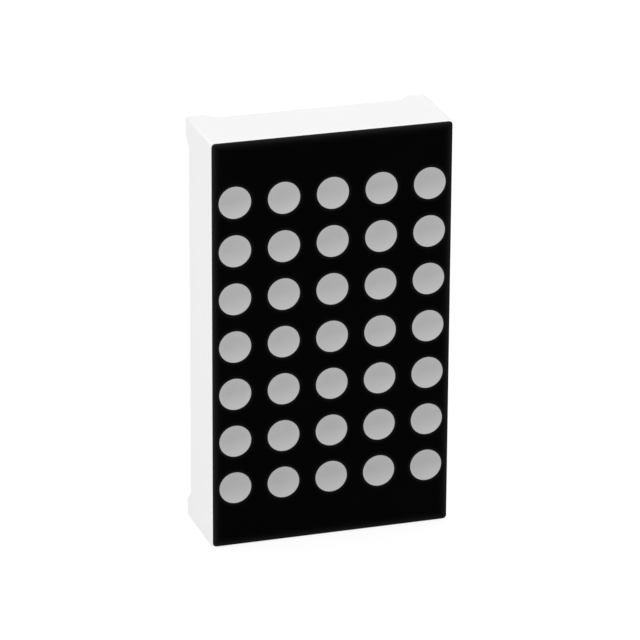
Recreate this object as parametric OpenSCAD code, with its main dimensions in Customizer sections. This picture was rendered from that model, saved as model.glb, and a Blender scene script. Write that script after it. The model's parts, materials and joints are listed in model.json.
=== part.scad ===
// LED dot matrix display, 5 columns by 7 rows, standing on its lower end.
// The front faces -Y, the pins point to +Y and +Z is up.
// The origin is the bottom centre of the whole display, pins included.

/* [Matrix] */
// Distance from one dot's centre to the next, across and down
pitch = 4.572; // [4.45:0.001:4.7]
// Diameter of a dot at the face
dot_d = 3; // [2.6:0.05:3.2]
// Flat rim left round the dished face of a dot
dot_rim = 0.15; // [0.1:0.01:0.3]
// Depth of the dish that the casting resin leaves as it shrinks
dot_dish = 0.05; // [0.02:0.01:0.1]
// Diameter of a reflector cup where it meets the circuit board
cup_back_d = 2; // [1.7:0.05:2.4]
// Thinnest wall between a cup and the hollow beside it
cup_wall = 0.6; // [0.45:0.05:0.65]

/* [Housing] */
// Gap left to the next display when several stand side by side
stack_gap = 0.15; // [0:0.05:0.3]
// Height of the margin above and below the dots' pitch squares
end_margin = 3.45; // [3.3:0.05:4.2]
// Depth of the housing, from the face to the rear edge of its walls
body_d = 7; // [6.8:0.1:9]
// Depth from the face to the rear of the reflector block
block_d = 4.5; // [4:0.1:4.6]
// Thickness of the skin in front of the moulding's hollows
front_skin = 0.9; // [0.6:0.05:1.2]
// Thickness of the two long side walls
side_wall = 0.75; // [0.6:0.05:0.9]
// Thickness of the upper and lower walls
end_wall = 1; // [0.7:0.05:1.2]
// Radius of the four upright edges
corner_r = 0.25; // [0.2:0.05:0.6]
// How far the front edge of the housing stands in from its sides
shoulder_in = 0.1; // [0.05:0.01:0.2]
// Depth over which the shoulder runs out to the full width
shoulder_d = 0.4; // [0.2:0.05:0.8]
// Draft of the round hollows, taken off their radius at the front
core_draft = 0.1; // [0.05:0.01:0.2]
// Thickness of the ribs that cross the end hollows
rib_t = 0.8; // [0.5:0.05:1]
// Bevel round the rear edge of the board recess
lead_in = 0.2; // [0.1:0.05:0.3]

/* [Feet] */
// Height of the stand-off feet behind the housing
foot_h = 1; // [0.6:0.1:1.6]
// Side of the flat pad of a foot
foot_pad = 1.65; // [1.4:0.05:1.9]
// Width of the sloped flank on the two inner sides of a foot
foot_flank = 1.05; // [0.8:0.05:1.2]

/* [Face layer] */
// Thickness of the black face layer
face_t = 0.15; // [0.13:0.01:0.4]
// Radius of the layer's front edge
face_edge_r = 0.1; // [0.05:0.01:0.12]

/* [Circuit board] */
// Thickness of the circuit board
board_t = 1.2; // [1:0.1:1.6]
// Gap between the edge of the board and the walls of the recess
board_gap = 0.1; // [0.05:0.01:0.2]
// Thickness of the copper on both sides of the board
copper_t = 0.05; // [0.03:0.005:0.08]
// Width of a copper track
track_w = 0.4; // [0.3:0.05:0.5]
// Width of the column tracks, which carry the chips
column_track_w = 0.8; // [0.6:0.05:0.9]
// Diameter of the spot that rounds a track's bend
track_bend_d = 0.5; // [0.4:0.05:0.8]
// Diameter of the copper ring round a pin
pin_pad_d = 1.5; // [1.3:0.05:1.6]
// Diameter of a plated hole that joins the two sides of the board
via_d = 0.3; // [0.2:0.05:0.4]
// Diameter of the copper land round such a plated hole
via_pad_d = 0.7; // [0.5:0.05:0.8]
// Distance from the middle of a chip to the plated hole beside it
via_reach = 1.4; // [1.3:0.05:1.5]

/* [Chips and bond wires] */
// Side of a light emitting chip
chip_w = 0.3; // [0.25:0.01:0.35]
// Height of a light emitting chip
chip_h = 0.25; // [0.15:0.01:0.3]
// Diameter of a bond wire
wire_d = 0.04; // [0.03:0.005:0.05]
// Distance from the middle of a chip to the far end of its bond wire
wire_reach = 0.75; // [0.7:0.01:0.85]

/* [Pins] */
// Diameter of a pin
pin_d = 0.5; // [0.4:0.01:0.6]
// Length of a pin behind the feet
pin_len = 4; // [3:0.1:6]
// Distance between neighbouring pins in a row
pin_pitch = 2.54; // [2.5:0.01:2.6]
// Distance from the outer row of dots to the row of pins beside it
pin_row_offset = 2.794; // [2.75:0.001:2.9]
// Length of a pin in front of the board
pin_stub = 0.6; // [0.4:0.05:1]
// Length of the bevel on the tip of a pin
pin_bevel = 0.15; // [0.05:0.01:0.2]
// Gap round a pin in the board's hole, which the solder fills
pin_hole_gap = 0.1; // [0.05:0.01:0.15]
// Gap from the corners of a pin's square root to the wall of its hole
pin_root_gap = 0.02; // [0.01:0.01:0.04]
// How far the square root comes out of the solder
pin_root_past = 0.1; // [0.05:0.05:0.3]
// Height of a solder joint behind the board
solder_h = 0.7; // [0.4:0.05:0.9]
// Bare rim of the copper ring round the foot of a solder joint
solder_rim = 0.1; // [0.05:0.01:0.2]
// Thickness of solder left over the corners of a pin's root at the top of a joint
solder_skin = 0.05; // [0.03:0.01:0.1]
// Height and width of the small solder ring in front of the board
solder_ring = 0.2; // [0.1:0.01:0.25]

/* [Hidden] */
$fn = 48;
// The circuit below is laid out for this format.
cols = 5;
rows = 7;
pins_per_row = (cols + rows) / 2;

// A cut reaches this far past the surface that it goes through.
past = 1;

body_w = cols * pitch - stack_gap;
body_h = rows * pitch + 2 * end_margin;
total_d = body_d + foot_h + pin_len;
foot_reach = foot_pad + foot_flank;
board_z = block_d + copper_t;
back_z = board_z + board_t;
solder_z = back_z + copper_t;
hollow_z = face_t + front_skin;
last_row = (rows - 1) / 2 * pitch;
pin_row = last_row + pin_row_offset;
pin_hole_r = pin_d / 2 + pin_hole_gap;
root_corner_r = pin_hole_r - pin_root_gap;
solder_top = solder_z + solder_h;
root_end = solder_top + pin_root_past;
core_r = pitch * sqrt(2) / 2 - dot_d / 2 - cup_wall;
end_hollow_in = last_row + dot_d / 2 + cup_wall;
end_hollow_out = body_h / 2 - end_wall;
end_hollow_half_w = body_w / 2 - foot_reach;

function column_x(c) = (c - (cols - 1) / 2) * pitch;
function row_y(r) = (r - (rows - 1) / 2) * pitch;
// A chip's bond wire and plated hole lie on the side nearer to the middle column.
function inward(c) = column_x(c) > 0 ? -1 : 1;
// Pins 1 to 6 run left to right along the bottom, 7 to 12 back along the top.
function pin_x(i) = (i - (pins_per_row - 1) / 2) * pin_pitch;
function pin_at(p) = p <= pins_per_row
    ? [pin_x(p - 1), pin_row]
    : [pin_x(2 * pins_per_row - p), -pin_row];

// What each pin is wired to, from left to right. A "column" is a track under that column
// of dots. A "row" is reached by a riser in the gap to the right of the column named last.
top_nets = [["row", 0, 0], ["column", 1], ["row", 1, 1], ["row", 2, 2], ["column", 3], ["row", 3, 3]];
bottom_nets = [["column", 0], ["row", 4, 0], ["row", 5, 1], ["column", 2], ["row", 6, 2], ["column", 4]];
function is_row(net) = net[0] == "row";
function net_x(net) = is_row(net) ? column_x(net[2]) + pitch / 2 : column_x(net[1]);
row_nets = [for (net = concat(top_nets, bottom_nets)) if (is_row(net)) net];

dot_names = [for (r = [1:rows], c = [1:cols]) str("dot_r", r, "_c", c)];
pin_names = [for (p = [1:2 * pins_per_row]) str("pin_", p)];

// Every sub-part is drawn face down: x to the right, y down the face and z back from the
// face. This stands it up.
module stand_up() {
    translate([0, -total_d / 2, body_h / 2]) rotate([-90, 0, 0]) children();
}

module at_dots() {
    for (r = [0:rows - 1], c = [0:cols - 1])
        translate([column_x(c), row_y(r), 0]) children();
}

module at_pins() {
    for (p = [1:2 * pins_per_row]) translate(pin_at(p)) children();
}

module at_corners() {
    for (sx = [0, 1], sy = [0, 1]) mirror([sx, 0, 0]) mirror([0, sy, 0]) children();
}

// What is cut from a square corner, whose tip lies at the origin, to round it.
module corner_cut(r) {
    translate([-r, -r]) difference() {
        square(2 * r);
        circle(r);
    }
}

module rounded_rect(w, h, r) {
    difference() {
        square([w, h], center = true);
        at_corners() translate([w / 2, h / 2]) corner_cut(r);
    }
}

// A solid whose left and right sides follow the first profile and whose upper and lower
// sides follow the second. In a profile, x is along the face and y is the depth.
module crossed(w, h) {
    intersection() {
        translate([0, h / 2 + past, 0]) rotate([90, 0, 0]) linear_extrude(h + 2 * past) children(0);
        translate([-w / 2 - past, 0, 0]) rotate([90, 0, 90]) linear_extrude(w + 2 * past) children(1);
    }
}

// ---- Housing: the reflector moulding ----

module shoulder_profile(size) {
    half = size / 2;
    polygon([
        [-half + shoulder_in, face_t],
        [half - shoulder_in, face_t],
        [half, face_t + shoulder_d],
        [half, body_d + foot_h],
        [-half, body_d + foot_h],
        [-half, face_t + shoulder_d],
    ]);
}

// The gap between two feet, with their sloped flanks.
module foot_gap_profile(size) {
    half = size / 2;
    polygon([
        [-half + foot_reach, body_d],
        [half - foot_reach, body_d],
        [half - foot_pad + past * foot_flank / foot_h, body_d + foot_h + past],
        [-half + foot_pad - past * foot_flank / foot_h, body_d + foot_h + past],
    ]);
}

module outer_block() {
    intersection() {
        linear_extrude(body_d + foot_h) rounded_rect(body_w, body_h, corner_r);
        crossed(body_w, body_h) {
            shoulder_profile(body_w);
            shoulder_profile(body_h);
        }
    }
}

module foot_gaps() {
    translate([0, body_h / 2 + past, 0]) rotate([90, 0, 0])
        linear_extrude(body_h + 2 * past) foot_gap_profile(body_w);
    translate([-body_w / 2 - past, 0, 0]) rotate([90, 0, 90])
        linear_extrude(body_w + 2 * past) foot_gap_profile(body_h);
}

// Outline of the recess that takes the board. The corner posts stand in from its corners.
module recess_outline(gap) {
    w = body_w - 2 * (side_wall + gap);
    h = body_h - 2 * (end_wall + gap);
    post = foot_reach + gap;
    difference() {
        square([w, h], center = true);
        at_corners() translate([body_w / 2 - post, body_h / 2 - post]) square(post);
    }
}

module board_recess() {
    translate([0, 0, block_d]) linear_extrude(body_d + foot_h + past - block_d) recess_outline(0);
    // The bevel stops at the posts, so that the feet keep their pads.
    bevel_profile_w = body_w / 2 - side_wall;
    bevel_profile_h = body_h / 2 - end_wall;
    clear_w = 2 * (body_w / 2 - foot_reach);
    clear_h = 2 * (body_h / 2 - foot_reach);
    translate([0, clear_h / 2, 0]) rotate([90, 0, 0]) linear_extrude(clear_h) bevel_profile(bevel_profile_w);
    translate([-clear_w / 2, 0, 0]) rotate([90, 0, 90]) linear_extrude(clear_w) bevel_profile(bevel_profile_h);
}

module bevel_profile(half) {
    polygon([
        [-half - lead_in, body_d],
        [-half, body_d - lead_in],
        [half, body_d - lead_in],
        [half + lead_in, body_d],
        [half + lead_in, body_d + past],
        [-half - lead_in, body_d + past],
    ]);
}

module cups() {
    at_dots() translate([0, 0, face_t]) {
        cylinder(h = block_d - face_t, d1 = dot_d, d2 = cup_back_d);
        translate([0, 0, -past]) cylinder(h = past, d = dot_d);
    }
}

// Round hollows between every four cups keep the walls of the moulding even.
module core_hollows() {
    for (r = [0:rows - 2], c = [0:cols - 2])
        translate([column_x(c) + pitch / 2, row_y(r) + pitch / 2, hollow_z])
            cylinder(h = block_d - hollow_z, r1 = core_r - core_draft, r2 = core_r);
}

// Hollows above and below the dots, where the front ends of the pins stand.
module end_hollows() {
    for (side = [-1, 1]) translate([0, side * (end_hollow_in + end_hollow_out) / 2, hollow_z])
        linear_extrude(block_d - hollow_z)
            difference() {
                square([2 * end_hollow_half_w, end_hollow_out - end_hollow_in], center = true);
                for (x = [-pin_pitch, pin_pitch])
                    translate([x, 0]) square([rib_t, body_h], center = true);
            }
}

module housing() {
    color([0.95, 0.95, 0.94]) stand_up() difference() {
        outer_block();
        foot_gaps();
        cups();
        core_hollows();
        end_hollows();
        board_recess();
    }
}

// ---- Face layer ----

module edge_profile(size) {
    difference() {
        translate([-size / 2, 0]) square([size, face_t]);
        for (s = [0, 1]) mirror([s, 0]) translate([size / 2, 0]) mirror([0, 1]) corner_cut(face_edge_r);
    }
}

module face_layer() {
    w = body_w - 2 * shoulder_in;
    h = body_h - 2 * shoulder_in;
    color([0.05, 0.05, 0.05]) stand_up() difference() {
        intersection() {
            linear_extrude(face_t) rounded_rect(w, h, corner_r);
            crossed(w, h) {
                edge_profile(w);
                edge_profile(h);
            }
        }
        at_dots() translate([0, 0, -past]) cylinder(h = face_t + 2 * past, d = dot_d);
    }
}

// ---- Dots: cast resin that fills each cup and seals the chip in it ----

module dish() {
    r = dot_d / 2 - dot_rim;
    ball_r = (r * r + dot_dish * dot_dish) / (2 * dot_dish);
    translate([0, 0, dot_dish - ball_r]) sphere(ball_r, $fn = 180);
}

module dot(r, c) {
    color([0.68, 0.68, 0.68]) stand_up() translate([column_x(c), row_y(r), 0]) difference() {
        union() {
            cylinder(h = face_t, d = dot_d);
            translate([0, 0, face_t]) cylinder(h = block_d - face_t, d1 = dot_d, d2 = cup_back_d);
        }
        dish();
        chip();
        bond_wire(inward(c));
    }
}

// ---- Chips and bond wires ----

module chip() {
    translate([-chip_w / 2, -chip_w / 2, block_d - chip_h]) cube([chip_w, chip_w, chip_h]);
}

// The wire springs from the top of the chip in a half loop and drops to its land.
module bond_wire(side) {
    loop_r = wire_reach / 2;
    translate([side * loop_r, 0, block_d - chip_h]) rotate([-90, 0, 0])
        rotate_extrude(angle = 180) translate([loop_r, 0]) circle(d = wire_d, $fn = 16);
    translate([side * wire_reach, 0, block_d - chip_h]) cylinder(h = chip_h, d = wire_d, $fn = 16);
}

module led_chips() {
    color([0.75, 0.6, 0.2]) stand_up() at_dots() chip();
}

module bond_wires() {
    color("gold") stand_up()
        for (r = [0:rows - 1], c = [0:cols - 1])
            translate([column_x(c), row_y(r), 0]) bond_wire(inward(c));
}

// ---- Circuit board ----

module circuit_board() {
    color([0.16, 0.36, 0.2]) stand_up() translate([0, 0, board_z]) linear_extrude(board_t)
        difference() {
            recess_outline(board_gap);
            at_pins() circle(pin_hole_r);
            at_vias() circle(d = via_d);
        }
}

module at_vias() {
    for (r = [0:rows - 1], c = [0:cols - 1])
        translate([column_x(c) + inward(c) * via_reach, row_y(r)]) children();
    for (net = row_nets) translate([net_x(net), row_y(net[1])]) children();
}

module track(from, to, w) {
    run = to - from;
    translate(from) rotate(atan2(run.y, run.x)) translate([0, -w / 2]) square([norm(run), w]);
}

// Front of the board: a track under each column of dots, the lands of the bond wires,
// and a riser from each row's plated hole.
module front_pattern() {
    for (c = [0:cols - 1])
        track([column_x(c), -last_row], [column_x(c), last_row], column_track_w);
    for (r = [0:rows - 1], c = [0:cols - 1]) {
        land_x = column_x(c) + inward(c) * wire_reach;
        via_x = column_x(c) + inward(c) * via_reach;
        track([land_x, row_y(r)], [via_x, row_y(r)], track_w);
        translate([land_x, row_y(r)]) square(track_w, center = true);
        translate([via_x, row_y(r)]) circle(d = via_pad_d);
    }
    for (i = [0:pins_per_row - 1]) {
        link(top_nets[i], i, -1);
        link(bottom_nets[i], i, 1);
    }
    at_pins() circle(d = pin_pad_d);
}

// One pin's connection: straight along the board to beside the last dot, then slanting
// to the pin. The side is -1 towards the top pins and 1 towards the bottom pins.
module link(net, i, side) {
    x = net_x(net);
    bend = side * (last_row + dot_d / 2 - track_w);
    start = is_row(net) ? row_y(net[1]) : side * last_row;
    track([x, start], [x, bend], track_w);
    translate([x, bend]) circle(d = track_bend_d);
    track([x, bend], [pin_x(i), side * pin_row], track_w);
    if (is_row(net)) translate([x, start]) circle(d = via_pad_d);
}

module front_copper() {
    color([0.8, 0.5, 0.25]) stand_up() translate([0, 0, block_d]) linear_extrude(copper_t)
        difference() {
            front_pattern();
            at_pins() circle(pin_hole_r);
        }
}

// Back of the board: a track behind each row of dots, with the plating of the holes.
module back_pattern() {
    reach = column_x(cols - 1) - via_reach;
    for (r = [0:rows - 1]) track([-reach, row_y(r)], [reach, row_y(r)], track_w);
    at_vias() circle(d = via_pad_d);
    at_pins() circle(d = pin_pad_d);
}

module back_copper() {
    color([0.8, 0.5, 0.25]) stand_up() {
        translate([0, 0, back_z]) linear_extrude(copper_t) difference() {
            back_pattern();
            at_pins() circle(pin_hole_r);
        }
        translate([0, 0, board_z]) linear_extrude(board_t) at_vias() circle(d = via_d);
    }
}

// ---- Pins and solder joints ----

// A pin is round, with a root swaged square so that it grips the board until it is soldered.
module pin_root() {
    side = root_corner_r * sqrt(2);
    translate([-side / 2, -side / 2, block_d - pin_stub])
        cube([side, side, root_end - block_d + pin_stub]);
}

module pin(p) {
    color([0.8, 0.81, 0.83]) stand_up() translate(pin_at(p)) {
        pin_root();
        translate([0, 0, root_end]) cylinder(h = total_d - root_end - pin_bevel, d = pin_d);
        translate([0, 0, total_d - pin_bevel])
            cylinder(h = pin_bevel, d1 = pin_d, d2 = pin_d - 2 * pin_bevel);
    }
}

// The solder fills the hole round the root, with a ring in front of the board and a
// hollow fillet behind it.
module solder_joints() {
    neck_r = root_corner_r + solder_skin;
    foot_r = pin_pad_d / 2 - solder_rim;
    fillet = [for (a = [90:-15:0]) [
        foot_r - (foot_r - neck_r) * cos(a),
        solder_top - solder_h * sin(a)
    ]];
    outline = concat(
        [[0, block_d - solder_ring],
         [neck_r, block_d - solder_ring],
         [pin_hole_r + solder_ring, block_d],
         [pin_hole_r, block_d],
         [pin_hole_r, solder_z]],
        fillet,
        [[0, solder_top]]
    );
    color([0.75, 0.76, 0.78]) stand_up() at_pins() difference() {
        rotate_extrude() polygon(outline);
        pin_root();
    }
}

housing();
face_layer();
for (r = [0:rows - 1], c = [0:cols - 1])
    dot(r, c);
led_chips();
bond_wires();
front_copper();
circuit_board();
back_copper();
solder_joints();
for (p = [1:2 * pins_per_row])
    pin(p);
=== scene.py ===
# %% [markdown]
# # A dot matrix display, dressed in Blender
# The display stands on its lower end. Its front faces -Y, its pins point to +Y and +Z is up.
# On the real product a white moulded reflector holds everything. Its 35 tapered cups are
# filled with grey resin, a thin black layer covers the face between them, and a circuit board
# with two rows of pins closes the back.
#
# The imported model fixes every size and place. It is built from exact solids, but its round
# surfaces arrive as coarse facets and its edges are knife sharp. So this lesson models the
# pieces that show once more, with fine curves and softened edges, and gives every other piece
# a finish of its own.

# %% Load the fixed model
import json
import math

import bmesh
import bpy
from mathutils import Matrix, Vector


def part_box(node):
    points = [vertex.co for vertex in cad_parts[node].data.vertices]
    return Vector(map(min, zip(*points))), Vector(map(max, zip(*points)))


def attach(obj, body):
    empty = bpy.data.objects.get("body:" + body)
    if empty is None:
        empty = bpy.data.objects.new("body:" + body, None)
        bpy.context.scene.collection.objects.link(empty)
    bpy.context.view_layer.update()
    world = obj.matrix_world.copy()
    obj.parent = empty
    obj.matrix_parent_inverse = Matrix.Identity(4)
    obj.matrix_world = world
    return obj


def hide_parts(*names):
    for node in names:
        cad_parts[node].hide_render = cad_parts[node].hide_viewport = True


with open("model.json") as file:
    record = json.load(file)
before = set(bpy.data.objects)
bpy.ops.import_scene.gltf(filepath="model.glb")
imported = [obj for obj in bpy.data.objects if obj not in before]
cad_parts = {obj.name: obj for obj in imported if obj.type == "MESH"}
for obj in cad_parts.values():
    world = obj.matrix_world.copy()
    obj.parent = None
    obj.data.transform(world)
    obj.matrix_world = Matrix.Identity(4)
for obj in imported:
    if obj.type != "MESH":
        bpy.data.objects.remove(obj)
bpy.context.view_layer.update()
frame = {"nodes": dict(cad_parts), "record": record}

# %% [markdown]
# ## Sizes
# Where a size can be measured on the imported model, it is measured, so a new piece always fits
# the solids beside it. The few sizes that a box can't tell, such as a wall or a radius, are
# named here in metres. A depth is counted from the face towards the back.

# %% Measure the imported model
MM = 0.001
MICROMETRE = 1e-6
COLUMNS = 5
ROWS = 7
PINS_PER_ROW = 6

housing_low, housing_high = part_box("housing")
face_low, face_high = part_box("face_layer")
board_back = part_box("circuit_board")[1].y
pins_low, pins_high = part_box("pin_1")

WIDTH = housing_high.x - housing_low.x
HEIGHT = housing_high.z - housing_low.z
MID_Z = (housing_low.z + housing_high.z) / 2
PITCH = (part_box("dot_r1_c5")[0].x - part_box("dot_r1_c1")[0].x) / (COLUMNS - 1)
SHOULDER_IN = face_low.x - housing_low.x


def depth(distance):
    """The Y of a place this far behind the face."""
    return face_low.y + distance


print(f"housing {WIDTH / MM:.2f} x {HEIGHT / MM:.2f} mm, pitch {PITCH / MM:.3f} mm")

# %% Name the sizes that a box can't tell
# Dots, cups and face. The ink of the face draws back a little at the corners, so they are
# rounder than the corners of the moulding behind it.
DOT_R = 1.5 * MM
DOT_RIM = 0.15 * MM
DOT_DISH = 0.05 * MM
DISH_STEPS = 6
CHIP_NOTCH_HALF = 0.15 * MM
CUP_BACK_R = 1.0 * MM
CUP_WALL = 0.6 * MM
BLOCK_DEPTH = 4.5 * MM
FACE_EDGE_R = 0.1 * MM
FACE_CORNER_R = 0.35 * MM

# Housing
CORNER_R = 0.25 * MM
SHOULDER_DEPTH = 0.55 * MM
SIDE_WALL = 0.75 * MM
END_WALL = 1.0 * MM
LEAD_IN = 0.2 * MM
FOOT_HEIGHT = 1.0 * MM
FOOT_PAD = 1.65 * MM
FOOT_REACH = 2.7 * MM
HOLLOW_DEPTH = 1.05 * MM
CORE_R = PITCH * math.sqrt(2) / 2 - DOT_R - CUP_WALL
CORE_DRAFT = 0.1 * MM
RIB = 0.8 * MM
SOFT_EDGE = 0.05 * MM
CLEAR_OF_EDGE = 1.2 * SOFT_EDGE

# Pins, copper and solder
PIN_R = 0.25 * MM
PIN_PITCH = 2.54 * MM
PIN_BEVEL = 0.15 * MM
ROOT_CORNER_R = 0.33 * MM
ROOT_SOFT_EDGE = 0.02 * MM
ROOT_END = 6.6 * MM
COPPER_THICK = 0.05 * MM
TINNED_RING_R = 0.78 * MM
MASK_OPENING_R = 0.87 * MM
SOLDER_TOP = 6.5 * MM
SOLDER_FOOT_R = 0.65 * MM
SOLDER_NECK_R = 0.38 * MM
SOLDER_NOSE = 0.2 * MM

# How far a cutting tool runs past the surface that it cuts
OVERSHOOT = 0.2 * MM

wall_rear = housing_high.y - FOOT_HEIGHT
pin_row = (pins_low.z + pins_high.z) / 2 - MID_Z


def dot_place(row, column):
    """X and Z of a dot's centre. Rows count down from the top, columns from the left."""
    return (column - (COLUMNS + 1) / 2) * PITCH, MID_Z + ((ROWS + 1) / 2 - row) * PITCH


def pin_place(number):
    """X and Z of a pin. Pins 1 to 6 run left to right at the bottom, 7 to 12 back at the top."""
    step = number - 1 if number <= PINS_PER_ROW else 2 * PINS_PER_ROW - number
    side = 1 if number <= PINS_PER_ROW else -1
    return (step - (PINS_PER_ROW - 1) / 2) * PIN_PITCH, MID_Z + side * pin_row


DOT_PLACES = [
    dot_place(row, column) for row in range(1, ROWS + 1) for column in range(1, COLUMNS + 1)
]
PIN_NUMBERS = range(1, 2 * PINS_PER_ROW + 1)
print("pin 1 stands at", pin_place(1), "and pin 12 at", pin_place(12))

# %% [markdown]
# ## Working the tools from a script
# A tool acts on whatever is selected, as it does under the mouse. So each step first selects
# one object alone, and inside edit mode the faces, edges or corners are picked by where they
# are. These helpers keep that in one place.

# %% Select and shape
def only(piece):
    """Selects this object and nothing else."""
    bpy.ops.object.select_all(action="DESELECT")
    piece.select_set(True)
    bpy.context.view_layer.objects.active = piece


def edit(piece):
    """Opens this object alone in edit mode."""
    only(piece)
    bpy.ops.object.mode_set(mode="EDIT")


def leave_edit():
    bpy.ops.object.mode_set(mode="OBJECT")


def pick(kind, test):
    """In edit mode, selects each FACE, EDGE or VERT that passes the test. The test gets its
    middle and its direction: the normal of a face or a corner, or the way an edge runs."""
    bpy.ops.mesh.select_mode(type=kind)
    bpy.ops.mesh.select_all(action="DESELECT")
    data = bpy.context.edit_object.data
    mesh = bmesh.from_edit_mesh(data)
    for part in {"FACE": mesh.faces, "EDGE": mesh.edges, "VERT": mesh.verts}[kind]:
        if kind == "FACE":
            middle, way = part.calc_center_median(), part.normal
        elif kind == "EDGE":
            ends = [corner.co for corner in part.verts]
            middle, way = (ends[0] + ends[1]) / 2, (ends[1] - ends[0]).normalized()
        else:
            middle, way = part.co, part.normal
        if test(middle, way):
            part.select_set(True)
    mesh.select_flush_mode()
    bmesh.update_edit_mesh(data)


def near(a, b):
    """True where two places are the same to a micrometre."""
    return abs(a - b) < MICROMETRE


def slice_at(point, normal):
    """In edit mode, draws the line of a plane round the whole mesh and keeps both sides."""
    bpy.ops.mesh.select_all(action="SELECT")
    bpy.ops.mesh.bisect(plane_co=point, plane_no=normal, threshold=1e-7)


# %% Add a primitive at its size and place
def add_block(low, high):
    """A cube primitive that reaches from one corner to the other."""
    low, high = Vector(low), Vector(high)
    bpy.ops.object.select_all(action="DESELECT")
    bpy.ops.mesh.primitive_cube_add(size=1, location=(low + high) / 2, scale=high - low)
    bpy.ops.object.transform_apply(location=True, rotation=True, scale=True)
    return bpy.context.object


def add_round(x, z, front, back, front_r, back_r, sides):
    """A cone primitive that lies along Y, from front to back. Equal radii make a cylinder."""
    bpy.ops.object.select_all(action="DESELECT")
    bpy.ops.mesh.primitive_cone_add(
        vertices=sides, radius1=front_r, radius2=back_r, depth=back - front,
        location=(x, (front + back) / 2, z), rotation=(math.radians(-90), 0, 0),
    )
    bpy.ops.object.transform_apply(location=True, rotation=True, scale=True)
    return bpy.context.object


def copy_to(piece, x, z):
    """A copy with a mesh of its own, moved by x and z."""
    only(piece)
    bpy.ops.object.duplicate(linked=False)
    bpy.ops.transform.translate(value=(x, 0, z))
    bpy.ops.object.transform_apply(location=True, rotation=True, scale=True)
    return bpy.context.object


def join_without(pattern, copies):
    """Joins the copies into one object and deletes the pattern that they were made from."""
    only(pattern)
    bpy.ops.object.delete()
    only(copies[0])
    for piece in copies:
        piece.select_set(True)
    bpy.ops.object.join()
    return bpy.context.object


def combine(piece, tool, operation="DIFFERENCE"):
    """Cuts the tool out of the piece, or joins the two, and removes the tool."""
    only(piece)
    bpy.ops.object.modifier_add(type="BOOLEAN")
    cut = piece.modifiers[-1]
    cut.operation = operation
    cut.solver = "EXACT"
    cut.object = tool
    bpy.ops.object.modifier_apply(modifier=cut.name)
    only(tool)
    bpy.ops.object.delete()
    edit(piece)
    bpy.ops.mesh.select_all(action="SELECT")
    bpy.ops.mesh.remove_doubles(threshold=0.0001 * MM)
    leave_edit()


def tidy_mesh(piece):
    """Merges corners that lie on one another and faces that lie in one plane."""
    edit(piece)
    bpy.ops.mesh.select_all(action="SELECT")
    bpy.ops.mesh.remove_doubles(threshold=0.002 * MM)
    bpy.ops.mesh.dissolve_limited(angle_limit=math.radians(0.5))
    leave_edit()


def soften(piece, width):
    """Rounds every edge that is sharper than 30 degrees, as a mould or a press leaves it."""
    tidy_mesh(piece)
    only(piece)
    bpy.ops.object.modifier_add(type="BEVEL")
    bevel = piece.modifiers[-1]
    bevel.width = width
    bevel.segments = 2
    bevel.limit_method = "ANGLE"
    bevel.angle_limit = math.radians(30)
    bpy.ops.object.modifier_apply(modifier=bevel.name)


def finish_piece(piece, name, material, stands_for):
    """Names a piece, shades it, gives it its finish and fixes it to the display."""
    only(piece)
    piece.name = name
    piece.data.name = name
    bpy.ops.object.shade_smooth_by_angle(angle=math.radians(35))
    bpy.ops.object.modifier_add(type="WEIGHTED_NORMAL")
    weighted = piece.modifiers[-1]
    weighted.keep_sharp = True
    bpy.ops.object.modifier_apply(modifier=weighted.name)
    piece.data.materials.clear()
    piece.data.materials.append(material)
    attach(piece, "root")
    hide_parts(*stands_for)


def closed(piece):
    """Counts the edges that don't join exactly two faces. A sound solid has none."""
    mesh = bmesh.new()
    mesh.from_mesh(piece.data)
    open_edges = sum(len(edge.link_faces) != 2 for edge in mesh.edges)
    mesh.free()
    return open_edges


# %% [markdown]
# ## Shared surface effects
# Several finishes need the same small effects: the grain that a mould leaves, the cloudiness
# of a cast or printed layer, the paler line along an edge, which is a painted sheen, and a few
# specks of dust. Each effect is a node group with named inputs, built once and placed in each
# material with values of its own. A group only hands out numbers that vary over the surface.
# The shader stays in the material.

# %% Build node trees
def add_node(tree, kind, inputs=None, **settings):
    """Adds a node. An input's value is either a number or the socket that feeds it."""
    made = tree.nodes.new(kind)
    for name, value in settings.items():
        setattr(made, name, value)
    for socket, value in (inputs or {}).items():
        if isinstance(value, bpy.types.NodeSocket):
            tree.links.new(value, made.inputs[socket])
        else:
            made.inputs[socket].default_value = value
    return made


def calculate(tree, operation, *values, clamp=False):
    """A Math node's result."""
    made = add_node(tree, "ShaderNodeMath", dict(enumerate(values)), operation=operation)
    made.use_clamp = clamp
    return made.outputs[0]


def calculate_vector(tree, operation, *values):
    """A Vector Math node's result."""
    made = add_node(tree, "ShaderNodeVectorMath", dict(enumerate(values)), operation=operation)
    return made.outputs["Vector"]


def fade(tree, value, start, end, low=0.0, high=1.0):
    """Turns value smoothly from low at start to high at end."""
    made = add_node(
        tree, "ShaderNodeMapRange",
        {"Value": value, "From Min": start, "From Max": end, "To Min": low, "To Max": high},
        interpolation_type="SMOOTHSTEP",
    )
    return made.outputs["Result"]


def blend_colours(tree, share, first, second):
    """Mixes two colours. Share is how much of the second one shows. A Mix node has sockets for
    each type of data, and the colours are its inputs 6 and 7 and its output 2."""
    made = add_node(tree, "ShaderNodeMix", {0: share, 6: first, 7: second}, data_type="RGBA")
    return made.outputs[2]


def new_group(name, inputs, outputs):
    """An empty shader node group with named sockets. Returns it with its two end nodes."""
    group = bpy.data.node_groups.new(name, "ShaderNodeTree")
    for label, kind, value in inputs:
        socket = group.interface.new_socket(name=label, in_out="INPUT", socket_type=kind)
        if value is not None:
            socket.default_value = value
    for label in outputs:
        group.interface.new_socket(name=label, in_out="OUTPUT", socket_type="NodeSocketFloat")
    start = group.nodes.new("NodeGroupInput")
    end = group.nodes.new("NodeGroupOutput")
    return group, start.outputs, end.inputs


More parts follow.
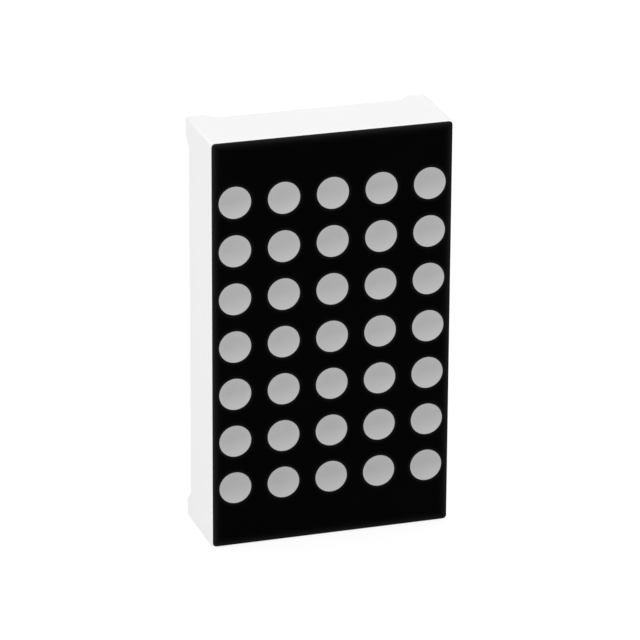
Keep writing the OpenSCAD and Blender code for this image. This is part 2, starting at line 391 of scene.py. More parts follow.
# %% Grain and cloud
def make_grain_group():
    """Grain is the fine roughness of a moulded or cast skin, and Cloud its slow unevenness."""
    group, given, result = new_group(
        "Grain and cloud",
        [("Vector", "NodeSocketVector", None), ("Grain Scale", "NodeSocketFloat", 9000),
         ("Cloud Scale", "NodeSocketFloat", 300)],
        ["Grain", "Cloud"],
    )
    grain = add_node(group, "ShaderNodeTexNoise", {
        "Vector": given["Vector"], "Scale": given["Grain Scale"], "Detail": 3, "Roughness": 0.6})
    cloud = add_node(group, "ShaderNodeTexNoise", {
        "Vector": given["Vector"], "Scale": given["Cloud Scale"], "Detail": 2, "Roughness": 0.5})
    group.links.new(grain.outputs[0], result["Grain"])
    group.links.new(cloud.outputs[0], result["Cloud"])
    return group


GRAIN = make_grain_group()


# %% Edge line
def make_edge_group():
    """Mask is 1 at the sides of an upright rectangle and falls to 0 at the band's inner edge."""
    group, given, result = new_group(
        "Edge line",
        [("Vector", "NodeSocketVector", None), ("Centre", "NodeSocketVector", (0, 0, 0)),
         ("Half Size", "NodeSocketVector", (0, 0, 0)), ("Band", "NodeSocketFloat", 0.0003),
         ("Falloff", "NodeSocketFloat", 1.0)],
        ["Mask"],
    )
    offset = calculate_vector(group, "SUBTRACT", given["Vector"], given["Centre"])
    inside = calculate_vector(
        group, "SUBTRACT", given["Half Size"], calculate_vector(group, "ABSOLUTE", offset))
    sides = add_node(group, "ShaderNodeSeparateXYZ", {"Vector": inside})
    nearest = calculate(group, "MINIMUM", sides.outputs["X"], sides.outputs["Z"])
    share = calculate(group, "DIVIDE", nearest, given["Band"], clamp=True)
    rest = calculate(group, "SUBTRACT", 1.0, share)
    group.links.new(calculate(group, "POWER", rest, given["Falloff"]), result["Mask"])
    return group


EDGE_LINE = make_edge_group()


# %% Distance within a grid
def make_grid_group():
    """Radius is the distance to the nearest centre of a grid that repeats in X and Z.
    Right and Below say how far the place lies to the right of that centre and below it."""
    group, given, result = new_group(
        "Grid radius",
        [("Vector", "NodeSocketVector", None), ("Centre", "NodeSocketVector", (0, 0, 0)),
         ("Step", "NodeSocketVector", (1, 1, 1))],
        ["Radius", "Right", "Below"],
    )
    offset = calculate_vector(group, "SUBTRACT", given["Vector"], given["Centre"])
    half = calculate_vector(group, "MULTIPLY", given["Step"], (0.5, 0.5, 0.5))
    below = calculate_vector(group, "MULTIPLY", given["Step"], (-0.5, -0.5, -0.5))
    wrapped = calculate_vector(group, "WRAP", offset, half, below)
    flat = calculate_vector(group, "MULTIPLY", wrapped, (1, 0, 1))
    length = add_node(group, "ShaderNodeVectorMath", {0: flat}, operation="LENGTH")
    group.links.new(length.outputs["Value"], result["Radius"])
    sides = add_node(group, "ShaderNodeSeparateXYZ", {"Vector": wrapped})
    group.links.new(sides.outputs["X"], result["Right"])
    group.links.new(calculate(group, "MULTIPLY", sides.outputs["Z"], -1.0), result["Below"])
    return group


GRID_RADIUS = make_grid_group()


# %% Dust
def make_dust_group():
    """Mask is 1 on a few tiny specks. Amount is the share of the cells that hold one."""
    group, given, result = new_group(
        "Dust specks",
        [("Vector", "NodeSocketVector", None), ("Scale", "NodeSocketFloat", 900),
         ("Amount", "NodeSocketFloat", 0.1)],
        ["Mask"],
    )
    cells = add_node(group, "ShaderNodeTexVoronoi", {
        "Vector": given["Vector"], "Scale": given["Scale"], "Randomness": 1.0})
    luck = add_node(group, "ShaderNodeSeparateColor", {"Color": cells.outputs["Color"]})
    holds_one = calculate(group, "LESS_THAN", luck.outputs["Red"], given["Amount"])
    size = calculate(group, "MULTIPLY", luck.outputs["Green"], 0.05)
    speck = calculate(group, "LESS_THAN", cells.outputs["Distance"], size)
    group.links.new(calculate(group, "MULTIPLY", holds_one, speck), result["Mask"])
    return group


DUST = make_dust_group()
print("shared effects:", [group.name for group in bpy.data.node_groups])

# %% [markdown]
# ## Materials
# Every material starts from one Principled shader. What is the same all over a surface, such
# as how metallic it is, is typed on the shader's own sockets. What varies comes through the
# shared effects, read in Object coordinates, so the pattern stays on the piece wherever it
# goes.

# %% Start a material
def new_material(name, constants):
    """A material with its shader's constants set. Returns its tree, shader and coordinates."""
    material = bpy.data.materials.new(name)
    material.use_nodes = True
    tree = material.node_tree
    shader = tree.nodes["Principled BSDF"]
    for socket, value in constants.items():
        shader.inputs[socket].default_value = value
    place = tree.nodes.new("ShaderNodeTexCoord").outputs["Object"]
    return material, tree, shader, place


def use_group(tree, group, inputs):
    """Places a shared effect and returns its outputs."""
    return add_node(tree, "ShaderNodeGroup", inputs, node_tree=group).outputs


def dot_grid(tree, place):
    """The distance to the nearest dot's centre, and how far to its right and below it."""
    return use_group(tree, GRID_RADIUS, {
        "Vector": place, "Centre": (0, 0, MID_Z), "Step": (PITCH, 1, PITCH)})


def emboss(tree, shader, height, distance, strength):
    """Feeds a height into the shader's normal. The distance is how deep the relief is."""
    bump = add_node(
        tree, "ShaderNodeBump", {"Height": height, "Distance": distance, "Strength": strength})
    tree.links.new(bump.outputs["Normal"], shader.inputs["Normal"])


def grey(level):
    """A neutral colour."""
    return (level, level, level, 1)


# %% [markdown]
# ### White reflector plastic
# The reflector is moulded in a white plastic filled with so much pigment that no light leaks
# from one cup to the next. Its skin has a fine satin grain from the mould and looks very even,
# so the colour only drifts by a few hundredths.

# %% White reflector plastic
def make_white_plastic():
    material, tree, shader, place = new_material(
        "White reflector plastic", {"Specular IOR Level": 0.35})
    grain = use_group(tree, GRAIN, {"Vector": place, "Grain Scale": 7000, "Cloud Scale": 220})
    dust = use_group(tree, DUST, {"Vector": place, "Scale": 700, "Amount": 0.06})
    colour = blend_colours(tree, grain["Cloud"], (0.837, 0.837, 0.833, 1), (0.876, 0.876, 0.875, 1))
    colour = blend_colours(tree, dust["Mask"], colour, grey(0.72))
    tree.links.new(colour, shader.inputs["Base Color"])
    tree.links.new(fade(tree, grain["Cloud"], 0.3, 0.7, 0.42, 0.52), shader.inputs["Roughness"])
    emboss(tree, shader, grain["Grain"], 0.004 * MM, 0.5)
    return material


WHITE_PLASTIC = make_white_plastic()


# %% [markdown]
# ### Black face layer
# The face is a thin matt black layer. Black ink hides the reflector so that an unlit display
# stays dark, and it is matt so that a lamp in the room doesn't show in it. Along the outer
# edge its colour is painted a shade paler, as a painted sheen, and round every window it is
# also a shade paler.

# %% Black face layer
def make_black_face():
    material, tree, shader, place = new_material(
        "Black face layer", {"Specular IOR Level": 0.009})
    grain = use_group(tree, GRAIN, {"Vector": place, "Grain Scale": 6000, "Cloud Scale": 160})
    edge = use_group(tree, EDGE_LINE, {
        "Vector": place, "Centre": (0, 0, MID_Z), "Band": 2.0 * MM, "Falloff": 8,
        "Half Size": (WIDTH / 2 - SHOULDER_IN, 0, HEIGHT / 2 - SHOULDER_IN)})
    dust = use_group(tree, DUST, {"Vector": place, "Scale": 800, "Amount": 0.05})
    colour = blend_colours(tree, grain["Cloud"], grey(0.0004), grey(0.0012))
    # Painted sheen: the colour is painted paler towards the outer edge of the face.
    colour = blend_colours(tree, edge["Mask"], colour, grey(0.019))
    radius = dot_grid(tree, place)["Radius"]
    # Round every window the colour is also a shade paler.
    rim_width = 0.6 * MM
    rim = calculate(tree, "POWER", fade(tree, radius, DOT_R + rim_width, DOT_R), 3.0)
    # The grid repeats for ever, so its rims are kept to the seven rows of windows.
    height = add_node(tree, "ShaderNodeSeparateXYZ", {"Vector": place}).outputs["Z"]
    from_middle = calculate(tree, "ABSOLUTE", calculate(tree, "SUBTRACT", height, MID_Z))
    in_matrix = calculate(tree, "LESS_THAN", from_middle, ROWS / 2 * PITCH)
    rim = calculate(tree, "MULTIPLY", rim, in_matrix)
    colour = blend_colours(tree, rim, colour, grey(0.007))
    colour = blend_colours(tree, dust["Mask"], colour, grey(0.018))
    tree.links.new(colour, shader.inputs["Base Color"])
    tree.links.new(fade(tree, grain["Grain"], 0.3, 0.7, 0.55, 0.75), shader.inputs["Roughness"])
    emboss(tree, shader, grain["Grain"], 0.006 * MM, 0.6)
    return material


BLACK_FACE = make_black_face()


# %% [markdown]
# ### Dot resin
# The cups are cast full of clear epoxy with a grey diffuser in it, which spreads the chip's
# light over the whole dot and keeps an unlit dot neutral. The resin is milky and not quite
# opaque. Every dot is painted a shade paler towards its lower side, and a little towards its
# right. This is painted light: it stands for light that falls in from above and lands on the
# lower wall of the white cup, which lies just under the surface near the rim.

# %% Dot resin
def make_dot_resin():
    material, tree, shader, place = new_material(
        "Grey dot resin", {"Specular IOR Level": 0.12})
    grain = use_group(tree, GRAIN, {"Vector": place, "Grain Scale": 5200, "Cloud Scale": 700})
    grid = dot_grid(tree, place)
    body = blend_colours(tree, grain["Cloud"], (0.384, 0.386, 0.391, 1), (0.437, 0.435, 0.428, 1))
    # Painted light: the colour is painted paler towards the lower side of each dot, and a little
    # towards its right, for light from above on the lower wall of the cup.
    lower = calculate(tree, "DIVIDE", grid["Below"], DOT_R)
    right = calculate(tree, "DIVIDE", grid["Right"], DOT_R)
    towards = calculate(tree, "ADD", lower, calculate(tree, "MULTIPLY", right, 0.18))
    glow = calculate(tree, "ADD", towards, 0.15, clamp=True)
    body = blend_colours(tree, calculate(tree, "MULTIPLY", glow, 0.85), body, grey(0.495))
    rim = fade(tree, grid["Radius"], 0.8 * MM, DOT_R, 0.0, 0.2)
    body = blend_colours(tree, rim, body, grey(0.50))
    tree.links.new(body, shader.inputs["Base Color"])
    tree.links.new(fade(tree, grain["Cloud"], 0.3, 0.7, 0.38, 0.5), shader.inputs["Roughness"])
    emboss(tree, shader, grain["Grain"], 0.004 * MM, 0.5)
    return material


DOT_RESIN = make_dot_resin()


# %% [markdown]
# ### Metals
# The pins are drawn steel wire with a coat of tin, the joints are bright solder, the tracks
# are copper and the bond wires gold. A metal is told apart by its tint and by how it was
# worked: drawing leaves fine lines along the wire, solder freezes smooth with a few dull
# patches, and bare copper tarnishes in clouds.

# %% Tinned wire
def make_tin(name, tint, dull, lines):
    """A tin surface. Lines is how strongly the marks run along Y, and dull its patchy tint."""
    material, tree, shader, place = new_material(name, {"Metallic": 1.0})
    stretched = add_node(
        tree, "ShaderNodeMapping", {"Vector": place, "Scale": (1, 1 - 0.97 * lines, 1)})
    grain = use_group(tree, GRAIN, {
        "Vector": stretched.outputs[0], "Grain Scale": 16000, "Cloud Scale": 1500})
    colour = blend_colours(tree, grain["Cloud"], tint, dull)
    tree.links.new(colour, shader.inputs["Base Color"])
    tree.links.new(fade(tree, grain["Cloud"], 0.3, 0.7, 0.2, 0.42), shader.inputs["Roughness"])
    emboss(tree, shader, grain["Grain"], 0.002 * MM, 0.4)
    return material


PIN_TIN = make_tin("Tinned pin", (0.80, 0.80, 0.79, 1), (0.62, 0.62, 0.61, 1), lines=1)
SOLDER = make_tin("Solder", (0.83, 0.83, 0.84, 1), (0.66, 0.66, 0.68, 1), lines=0)


# %% Copper, gold and chip
def make_metal(name, bright, dull, cloud_scale, rough):
    """A bare metal whose colour and gloss drift from bright to dull."""
    material, tree, shader, place = new_material(name, {"Metallic": 1.0})
    grain = use_group(tree, GRAIN, {
        "Vector": place, "Grain Scale": 12000, "Cloud Scale": cloud_scale})
    share = fade(tree, grain["Cloud"], 0.35, 0.7)
    tree.links.new(blend_colours(tree, share, bright, dull), shader.inputs["Base Color"])
    roughness = fade(tree, grain["Cloud"], 0.3, 0.7, rough, rough + 0.2)
    tree.links.new(roughness, shader.inputs["Roughness"])
    emboss(tree, shader, grain["Grain"], 0.001 * MM, 0.4)
    return material


COPPER = make_metal("Bare copper", (0.84, 0.46, 0.30, 1), (0.50, 0.24, 0.14, 1), 900, 0.28)
GOLD = make_metal("Gold wire", (0.93, 0.70, 0.32, 1), (0.80, 0.56, 0.22, 1), 3000, 0.2)
CHIP = make_metal("Chip", (0.42, 0.36, 0.28, 1), (0.16, 0.14, 0.12, 1), 6000, 0.35)


# %% [markdown]
# ### Circuit board
# The board is glass cloth in resin under a green solder mask. The cloth's threads cross at
# right angles and show through the mask as a faint weave. Round each pin the mask is left open
# a little wider than the copper, so a ring of the bare straw coloured laminate shows there.

# %% Circuit board
def weave_of(tree, place, step):
    """0 to 1 over threads that cross at right angles, the given step apart."""
    axes = add_node(tree, "ShaderNodeSeparateXYZ", {"Vector": place})
    waves = [
        calculate(tree, "SINE", calculate(tree, "MULTIPLY", axes.outputs[axis], math.tau / step))
        for axis in "XZ"
    ]
    return fade(tree, calculate(tree, "MULTIPLY", *waves), -1.0, 1.0)


def near_pin(tree, place, outer):
    """1 within this distance of a pin's centre, and 0 beyond it. The grid repeats for ever, so
    it is cut off beside the last pin of a row."""
    first_x, first_z = pin_place(1)
    radius = use_group(tree, GRID_RADIUS, {
        "Vector": place, "Centre": (first_x, 0, first_z),
        "Step": (PIN_PITCH, 1, 2 * pin_row)})["Radius"]
    axes = add_node(tree, "ShaderNodeSeparateXYZ", {"Vector": place})
    across = calculate(tree, "ABSOLUTE", axes.outputs["X"])
    beside = calculate(tree, "LESS_THAN", across, PINS_PER_ROW / 2 * PIN_PITCH)
    blur = 0.02 * MM
    return calculate(tree, "MULTIPLY", fade(tree, radius, outer, outer - blur), beside)


def make_board():
    material, tree, shader, place = new_material(
        "Circuit board", {"Specular IOR Level": 0.2})
    grain = use_group(tree, GRAIN, {"Vector": place, "Grain Scale": 4000, "Cloud Scale": 260})
    dust = use_group(tree, DUST, {"Vector": place, "Scale": 600, "Amount": 0.1})
    weave = weave_of(tree, place, step=0.5 * MM)
    mask = blend_colours(tree, grain["Cloud"], (0.008, 0.075, 0.025, 1), (0.013, 0.10, 0.036, 1))
    threads = calculate(tree, "MULTIPLY", weave, 0.35)
    mask = blend_colours(tree, threads, mask, (0.03, 0.15, 0.055, 1))
    bare = blend_colours(tree, weave, (0.42, 0.38, 0.22, 1), (0.52, 0.48, 0.30, 1))
    colour = blend_colours(tree, near_pin(tree, place, MASK_OPENING_R), mask, bare)
    colour = blend_colours(tree, dust["Mask"], colour, grey(0.45))
    tree.links.new(colour, shader.inputs["Base Color"])
    tree.links.new(fade(tree, grain["Cloud"], 0.3, 0.7, 0.26, 0.38), shader.inputs["Roughness"])
    height = calculate(tree, "ADD", weave, calculate(tree, "MULTIPLY", grain["Grain"], 0.5))
    emboss(tree, shader, height, 0.004 * MM, 0.5)
    return material


BOARD = make_board()


# %% [markdown]
# ### Tracks under the mask
# The tracks behind the board lie under the same green mask, and read as slightly lighter,
# raised lines. Only the rings round the pins are left open and are tinned, so one material
# holds both finishes and tells them apart by their distance from a pin.

# %% Tracks under the mask
def make_masked_tracks():
    material, tree, shader, place = new_material(
        "Masked tracks", {"Specular IOR Level": 0.2})
    grain = use_group(tree, GRAIN, {"Vector": place, "Grain Scale": 5000, "Cloud Scale": 400})
    mask = blend_colours(tree, grain["Cloud"], (0.022, 0.15, 0.05, 1), (0.032, 0.19, 0.068, 1))
    tin = blend_colours(tree, grain["Cloud"], (0.80, 0.80, 0.79, 1), (0.64, 0.64, 0.63, 1))
    open_ring = near_pin(tree, place, TINNED_RING_R)
    tree.links.new(blend_colours(tree, open_ring, mask, tin), shader.inputs["Base Color"])
    tree.links.new(open_ring, shader.inputs["Metallic"])
    tree.links.new(fade(tree, grain["Cloud"], 0.3, 0.7, 0.24, 0.4), shader.inputs["Roughness"])
    emboss(tree, shader, grain["Grain"], 0.003 * MM, 0.5)
    return material


MASKED_TRACKS = make_masked_tracks()
print("materials:", sorted(material.name for material in bpy.data.materials))

# %% [markdown]
# ## Reflector housing
# The housing is one moulding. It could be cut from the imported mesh, but that mesh is made of
# loose triangles with coarse circles, and a bevel on it would catch on every facet. So it is
# modelled again from one block, as a mould maker would think of it: round the upright edges,
# step the front in, raise the four feet with their sloped flanks, sink the recess for the
# board, and only then cut the cups and the hollows.

# %% Outer block
def make_outer_block():
    block = add_block(
        (housing_low.x, face_high.y, housing_low.z), (housing_high.x, wall_rear, housing_high.z))
    edit(block)
    pick("EDGE", lambda middle, way: abs(way.y) > 0.9)
    bpy.ops.mesh.bevel(offset=CORNER_R, segments=8, affect="EDGES")
    slice_at((0, depth(SHOULDER_DEPTH), 0), (0, 1, 0))
    pick("VERT", lambda middle, way: near(middle.y, face_high.y))
    bpy.ops.transform.resize(
        value=(1 - 2 * SHOULDER_IN / WIDTH, 1, 1 - 2 * SHOULDER_IN / HEIGHT),
        center_override=(0, 0, MID_Z),
    )
    leave_edit()
    return block


housing = make_outer_block()
print("outer block:", len(housing.data.polygons), "faces, open edges:", closed(housing))


# %% [markdown]
# ### Feet and recess
# Planes are cut through the block where a foot's pad and flank end and where the walls begin.
# They divide the rear into cells. Raising the corners of the pad cells lifts the pad and draws
# the flanks up with it. A flank's corner cell is folded along its diagonal, or it would twist.

# %% Feet and recess
def add_feet_and_recess(block):
    edit(block)
    for inward in (FOOT_PAD, FOOT_REACH, SIDE_WALL):
        for side in (-1, 1):
            slice_at((side * (WIDTH / 2 - inward), 0, 0), (1, 0, 0))
    for inward in (FOOT_PAD, FOOT_REACH, END_WALL):
        for side in (-1, 1):
            slice_at((0, 0, MID_Z + side * (HEIGHT / 2 - inward)), (0, 0, 1))

    def from_side(middle):
        return WIDTH / 2 - abs(middle.x)

    def from_end(middle):
        return HEIGHT / 2 - abs(middle.z - MID_Z)

    # The diagonal of each corner cell is drawn before the pad is raised.
    for side in (-1, 1):
        for end in (-1, 1):
            def on_diagonal(middle, way):
                inner = near(from_side(middle), FOOT_REACH) and near(from_end(middle), FOOT_REACH)
                outer = near(from_side(middle), FOOT_PAD) and near(from_end(middle), FOOT_PAD)
                here = middle.x * side > 0 and (middle.z - MID_Z) * end > 0
                return here and near(middle.y, wall_rear) and (inner or outer)
            pick("VERT", on_diagonal)
            bpy.ops.mesh.vert_connect()

    pad = FOOT_PAD + MICROMETRE
    pick("VERT", lambda middle, way: near(middle.y, wall_rear)
         and from_side(middle) < pad and from_end(middle) < pad)
    bpy.ops.transform.translate(value=(0, FOOT_HEIGHT, 0))

    pick("FACE", lambda middle, way: way.y > 0.9 and near(middle.y, wall_rear)
         and from_side(middle) > SIDE_WALL and from_end(middle) > END_WALL
         and not (from_side(middle) < FOOT_REACH and from_end(middle) < FOOT_REACH))
    bpy.ops.mesh.extrude_region_move(
        TRANSFORM_OT_translate={"value": (0, depth(BLOCK_DEPTH) - wall_rear, 0)})
    bpy.ops.mesh.select_all(action="SELECT")
    bpy.ops.mesh.dissolve_limited(angle_limit=math.radians(0.5))
    leave_edit()


add_feet_and_recess(housing)
print("feet and recess:", len(housing.data.polygons), "faces, open edges:", closed(housing))


# %% [markdown]
# ### Soft edges and lead-in
# A very small round takes the sharpness off every edge of the moulding. After that a bevel
# round the mouth of the recess guides the board in. It stops at the corner posts, so it is cut
# with two tapered blocks rather than by the bevel tool, which would run on into the posts. The
# blocks reach a hair into the posts, because a cut that ends in the very plane of a face
# leaves a crack there.

# %% Soft edges and lead-in
def cut_lead_in(block):
    spare = 0.5 * MM
    hair = 0.02 * MM
    front, back = wall_rear - LEAD_IN, wall_rear + spare
    for axis, half, wall, reach in (
        ("x", WIDTH / 2, SIDE_WALL, HEIGHT / 2 - FOOT_REACH + hair),
        ("z", HEIGHT / 2, END_WALL, WIDTH / 2 - FOOT_REACH + hair),
    ):
        wide = half - wall + LEAD_IN + spare
        x, z = (wide, reach) if axis == "x" else (reach, wide)
        wedge = add_block((-x, front, MID_Z - z), (x, back, MID_Z + z))
        edit(wedge)
        pick("FACE", lambda middle, way: way.y < -0.9)
        narrow = (half - wall) / wide
        size = (narrow, 1, 1) if axis == "x" else (1, 1, narrow)
        bpy.ops.transform.resize(value=size, center_override=(0, 0, MID_Z))
        leave_edit()
        combine(block, wedge)


soften(housing, SOFT_EDGE)
cut_lead_in(housing)
print("soft edges and lead-in:", len(housing.data.polygons), "faces, open edges:", closed(housing))


# %% [markdown]
# ### Cups and hollows
# One cup is modelled as a cone, copied to the 35 places and cut out in a single boolean. The
# cones run past both surfaces, so that no two faces lie in one plane, which is where a boolean
# goes wrong. The round hollows between the cups and the ribbed hollows at the ends keep the
# walls of the moulding even, so they are cut in the same way.

# %% Cups and hollows
def make_cup_cutters():
    taper = (DOT_R - CUP_BACK_R) / (depth(BLOCK_DEPTH) - face_high.y)
    cup = add_round(
        0, 0, face_high.y - OVERSHOOT, depth(BLOCK_DEPTH) + OVERSHOOT,
        DOT_R + OVERSHOOT * taper, CUP_BACK_R - OVERSHOOT * taper, sides=72)
    return join_without(cup, [copy_to(cup, x, z) for x, z in DOT_PLACES])


def make_hollow_cutters():
    front = depth(HOLLOW_DEPTH)
    back = depth(BLOCK_DEPTH) + OVERSHOOT
    core = add_round(0, 0, front, back, CORE_R - CORE_DRAFT, CORE_R, sides=40)
    # A hollow stands midway between four cups, so there is one row and one column fewer.
    middle_column, middle_row = (COLUMNS - 2) / 2, (ROWS - 2) / 2
    cores = [
        copy_to(core, (column - middle_column) * PITCH, MID_Z + (row - middle_row) * PITCH)
        for row in range(ROWS - 1) for column in range(COLUMNS - 1)
    ]
    inner = (ROWS - 1) / 2 * PITCH + DOT_R + CUP_WALL
    outer = HEIGHT / 2 - END_WALL - CLEAR_OF_EDGE
    reach = WIDTH / 2 - FOOT_REACH - CLEAR_OF_EDGE
    bays = [
        (-reach, -PIN_PITCH - RIB / 2),
        (-PIN_PITCH + RIB / 2, PIN_PITCH - RIB / 2),
        (PIN_PITCH + RIB / 2, reach),
    ]
    boxes = [
        add_block(
            (left, front, MID_Z + min(end * inner, end * outer)),
            (right, back, MID_Z + max(end * inner, end * outer)))
        for end in (-1, 1) for left, right in bays
    ]
    return join_without(core, cores + boxes)


combine(housing, make_cup_cutters())
combine(housing, make_hollow_cutters())
print("cups and hollows:", len(housing.data.polygons), "faces, open edges:", closed(housing))
finish_piece(housing, "reflector_housing", WHITE_PLASTIC, ["housing"])

# %% [markdown]
# ## Face layer
# The face is a thin slab with rounded corners and a rolled front edge, with a round window for
# each dot. The windows are cut with the same number of sides as the dots have, so that the two
# rims lie against each other without a gap.

# %% Face layer
DOT_SIDES = 96


def make_face():
    face = add_block(face_low, face_high)
    edit(face)
    pick("EDGE", lambda middle, way: abs(way.y) > 0.9)
    bpy.ops.mesh.bevel(offset=FACE_CORNER_R, segments=8, affect="EDGES")
    pick("EDGE", lambda middle, way: near(middle.y, face_low.y))
    bpy.ops.mesh.bevel(offset=FACE_EDGE_R, segments=6, affect="EDGES")
    leave_edit()
    window = add_round(
        0, 0, face_low.y - OVERSHOOT, face_high.y + OVERSHOOT, DOT_R, DOT_R, DOT_SIDES)
    combine(face, join_without(window, [copy_to(window, x, z) for x, z in DOT_PLACES]))
    return face


face = make_face()
print("face layer:", len(face.data.polygons), "faces, open edges:", closed(face))
finish_piece(face, "black_face", BLACK_FACE, ["face_layer"])

# %% [markdown]
# ## Dots
# A dot is the whole plug of resin in its cup, not only the disc that shows. It starts as a
# short cylinder, as thick as the face layer. Its rear face is extruded back and narrowed to
# fill the cup, and its front face is inset in steps, each one set a little deeper, for the
# shallow dish. A notch at the back leaves room for the chip.

# %% One dot
def make_dot():
    dot = add_round(0, 0, face_low.y, face_high.y, DOT_R, DOT_R, DOT_SIDES)
    edit(dot)
    pick("FACE", lambda middle, way: way.y > 0.9)
    bpy.ops.mesh.extrude_region_move(
        TRANSFORM_OT_translate={"value": (0, depth(BLOCK_DEPTH) - face_high.y, 0)})
    narrow = CUP_BACK_R / DOT_R
    bpy.ops.transform.resize(value=(narrow, 1, narrow), center_override=(0, 0, 0))
    pick("FACE", lambda middle, way: way.y < -0.9)
    bpy.ops.mesh.inset(thickness=DOT_RIM, depth=0)
    dish_r = DOT_R - DOT_RIM
    sunk = 0.0
    for step in range(1, DISH_STEPS):
        bpy.ops.mesh.inset(thickness=dish_r / DISH_STEPS, depth=0)
        level = DOT_DISH * (1 - (1 - step / DISH_STEPS) ** 2)
        bpy.ops.transform.translate(value=(0, level - sunk, 0))
        sunk = level
    leave_edit()
    chip_low, chip_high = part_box("led_chips")
    half = CHIP_NOTCH_HALF
    notch = add_block((-half, chip_low.y, -half), (half, chip_high.y + half, half))
    combine(dot, notch)
    return dot


dot = make_dot()
print("dot:", len(dot.data.polygons), "faces, open edges:", closed(dot))

# %% All 35 dots
for row in range(1, ROWS + 1):
    for column in range(1, COLUMNS + 1):
        copied = copy_to(dot, *dot_place(row, column))
        finish_piece(
            copied, f"resin_dot_{row}_{column}", DOT_RESIN,
            [f"dot_r{row}_c{column}"])
only(dot)
bpy.ops.object.delete()
print("dots:", len(DOT_PLACES))

# %% [markdown]
# ## Pins
# A pin is a length of round wire. Its root is swaged square so that it grips the hole in the
# board until it is soldered, and its tip is bevelled to find its own hole. Round and square
# are two primitives that a union boolean makes one.

# %% One pin
def make_pin():
    wire = add_round(0, 0, depth(ROOT_END), pins_high.y, PIN_R, PIN_R, sides=32)
    edit(wire)
    pick("EDGE", lambda middle, way: near(middle.y, pins_high.y))
    bpy.ops.mesh.bevel(offset=PIN_BEVEL, segments=3, affect="EDGES")
    leave_edit()
    half = ROOT_CORNER_R / math.sqrt(2)
    root = add_block((-half, pins_low.y, -half), (half, depth(ROOT_END), half))
    soften(root, ROOT_SOFT_EDGE)
    combine(wire, root, "UNION")
    return wire


pin = make_pin()
print("pin:", len(pin.data.polygons), "faces, open edges:", closed(pin))

# %% All 12 pins
for number in PIN_NUMBERS:
    copied = copy_to(pin, *pin_place(number))
    finish_piece(copied, f"tinned_pin_{number}", PIN_TIN, [f"pin_{number}"])
only(pin)
bpy.ops.object.delete()
print("pins:", len(PIN_NUMBERS))

# %% [markdown]
# ## Solder joints
# Solder creeps up the root and out over the copper ring, and freezes in a hollow fillet. The
# fillet starts as a round plate on the ring. Its rear face is extruded again and again, each
# time narrowed by what a quarter circle asks for.

# %% One solder joint
def make_joint():
    ring_back = board_back + COPPER_THICK
    rise = depth(SOLDER_TOP) - ring_back
    steps = 8

    def fillet_r(step):
        turn = math.radians(90 * step / steps)
        return SOLDER_FOOT_R - (SOLDER_FOOT_R - SOLDER_NECK_R) * math.sin(turn)

    def fillet_y(step):
        turn = math.radians(90 * step / steps)
        return ring_back + rise * (1 - math.cos(turn))

    joint = add_round(0, 0, ring_back, fillet_y(1), fillet_r(0), fillet_r(1), sides=40)
    edit(joint)
    pick("FACE", lambda middle, way: way.y > 0.99)
    for step in range(2, steps + 1):
        bpy.ops.mesh.extrude_region_move(
            TRANSFORM_OT_translate={"value": (0, fillet_y(step) - fillet_y(step - 1), 0)})
        narrow = fillet_r(step) / fillet_r(step - 1)
        bpy.ops.transform.resize(value=(narrow, 1, narrow), center_override=(0, 0, 0))
    leave_edit()
    # The plug fills the hole in the board, and reaches a little into the fillet to join it.
    overlap = 0.02 * MM
    plug_r = SOLDER_NECK_R - 0.03 * MM
    plug = add_round(
        0, 0, depth(BLOCK_DEPTH) - SOLDER_NOSE, ring_back + overlap, plug_r, plug_r, sides=40)
    combine(joint, plug, "UNION")
    return joint


joint = make_joint()
print("solder joint:", len(joint.data.polygons), "faces, open edges:", closed(joint))

# %% All 12 solder joints
copies = [copy_to(joint, *pin_place(number)) for number in PIN_NUMBERS]
joints = join_without(joint, copies)
finish_piece(joints, "solder_fillets", SOLDER, ["solder_joints"])

# %% [markdown]
# ## The pieces that stay as they are
# The board, its copper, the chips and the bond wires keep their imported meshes. They are flat
# or hidden, so only their finish is missing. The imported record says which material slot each
# node has, so one table dresses every node, the replaced ones too.

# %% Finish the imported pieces
FINISHES = {
    "housing": WHITE_PLASTIC, "face_black": BLACK_FACE, "dot_resin": DOT_RESIN, "chip": CHIP,
    "wire_gold": GOLD, "copper": COPPER, "board": BOARD, "solder": SOLDER, "pin_tin": PIN_TIN,
}
for subpart in frame["record"]["subparts"]:
    data = frame["nodes"][subpart["node"]].data
    data.materials.clear()
    data.materials.append(FINISHES[subpart["material_slot"]])
frame["nodes"]["back_copper"].data.materials[0] = MASKED_TRACKS

# %% [markdown]
# ## Floor and light
# The display stands on a pale floor in front of white. The lamps stay at a level at which a
# colour comes out about as it is written. The white behind it isn't more light on the object:
# only rays that come straight from the camera, or by way of a glossy surface, see the backdrop
# and the floor at full white. The floor adds a part of its real shading to that, so the
# display's shadow stays.

# %% Floor
def seen_directly(tree):
    """1 for a ray from the camera, or by way of something glossy or clear, and 0 for others."""
    rays = tree.nodes.new("ShaderNodeLightPath").outputs
    seen = calculate(tree, "MAXIMUM", rays["Is Camera Ray"], rays["Is Glossy Ray"])
    return calculate(tree, "MAXIMUM", seen, rays["Is Transmission Ray"])


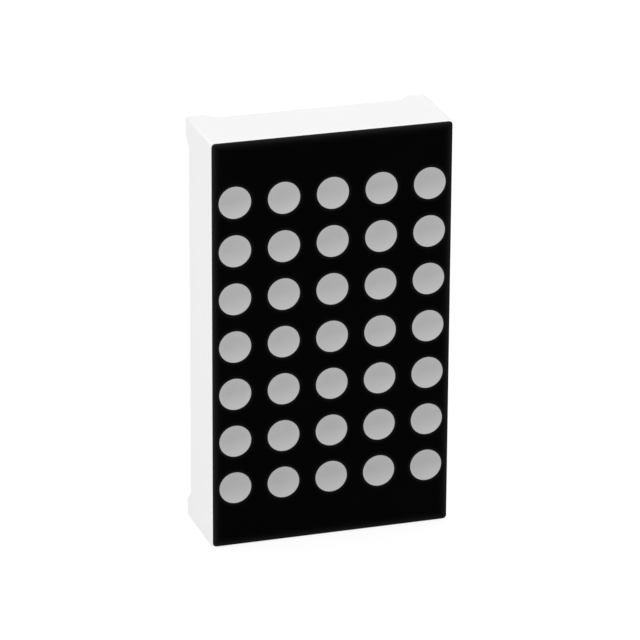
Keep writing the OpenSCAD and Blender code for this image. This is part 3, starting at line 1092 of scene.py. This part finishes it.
def make_floor():
    bpy.ops.object.select_all(action="DESELECT")
    bpy.ops.mesh.primitive_plane_add(size=3, location=(0, 0, 0))
    floor = bpy.context.object
    floor.name = "floor"
    material = bpy.data.materials.new("Pale floor")
    material.use_nodes = True
    tree = material.node_tree
    tree.nodes.clear()
    paint = add_node(tree, "ShaderNodeBsdfDiffuse", {"Color": grey(0.85)})
    faint = add_node(tree, "ShaderNodeBsdfDiffuse", {"Color": grey(0.25)})
    glow = add_node(tree, "ShaderNodeEmission", {"Color": grey(1), "Strength": 0.8})
    shown = tree.nodes.new("ShaderNodeAddShader")
    tree.links.new(faint.outputs[0], shown.inputs[0])
    tree.links.new(glow.outputs[0], shown.inputs[1])
    choose = add_node(tree, "ShaderNodeMixShader", {0: seen_directly(tree)})
    tree.links.new(paint.outputs[0], choose.inputs[1])
    tree.links.new(shown.outputs[0], choose.inputs[2])
    output = tree.nodes.new("ShaderNodeOutputMaterial")
    tree.links.new(choose.outputs[0], output.inputs["Surface"])
    floor.data.materials.append(material)


make_floor()


# %% Backdrop and lamps
AMBIENT = 0.72


def make_backdrop():
    world = bpy.data.worlds.new("White backdrop")
    bpy.context.scene.world = world
    world.use_nodes = True
    tree = world.node_tree
    strength = fade(tree, seen_directly(tree), 0.0, 1.0, AMBIENT, 1.0)
    background = tree.nodes["Background"]
    background.inputs["Color"].default_value = grey(1)
    tree.links.new(strength, background.inputs["Strength"])


def add_lamp(name, place, size, watts):
    """A square soft box that points at the middle of the display."""
    target = Vector((0, 0, MID_Z))
    place = Vector(place)
    bpy.ops.object.select_all(action="DESELECT")
    bpy.ops.object.light_add(type="AREA", location=place)
    lamp = bpy.context.object
    lamp.name = name
    lamp.data.shape = "SQUARE"
    lamp.data.size = size
    lamp.data.energy = watts
    lamp.rotation_euler = (target - place).to_track_quat("-Z", "Y").to_euler()


make_backdrop()
add_lamp("overhead soft box", (0.05, -0.15, 0.75), size=0.6, watts=1.6)
add_lamp("left soft box", (-0.6, -0.5, 0.4), size=0.5, watts=2.0)
bpy.context.scene.view_settings.view_transform = "Standard"

# %% [markdown]
# ## Camera
# The camera stands in front, a little to the left and above, and looks at the display through
# a long lens, so its upright edges stay nearly parallel. It is turned to its heading, tilted
# down and rolled by a fraction of a degree, in that order.

# %% Camera
CAMERA_PLACE = (-0.115698, -0.360000, 0.163377)
HEADING = 17.930
TILT_DOWN = 20.919
ROLL = 0.3132
LENS = 248.61
SENSOR_WIDTH = 36


def add_camera():
    bpy.ops.object.select_all(action="DESELECT")
    bpy.ops.object.camera_add(location=CAMERA_PLACE)
    camera = bpy.context.object
    turned = (
        Matrix.Rotation(math.radians(-HEADING), 3, "Z")
        @ Matrix.Rotation(math.radians(90 - TILT_DOWN), 3, "X")
        @ Matrix.Rotation(math.radians(ROLL), 3, "Z")
    )
    camera.rotation_euler = turned.to_euler()
    camera.data.lens = LENS
    camera.data.sensor_width = SENSOR_WIDTH
    bpy.context.scene.camera = camera
    bpy.context.view_layer.update()
    return camera


camera = add_camera()
print("camera looks along", (camera.matrix_world.to_3x3() @ Vector((0, 0, -1)))[:])
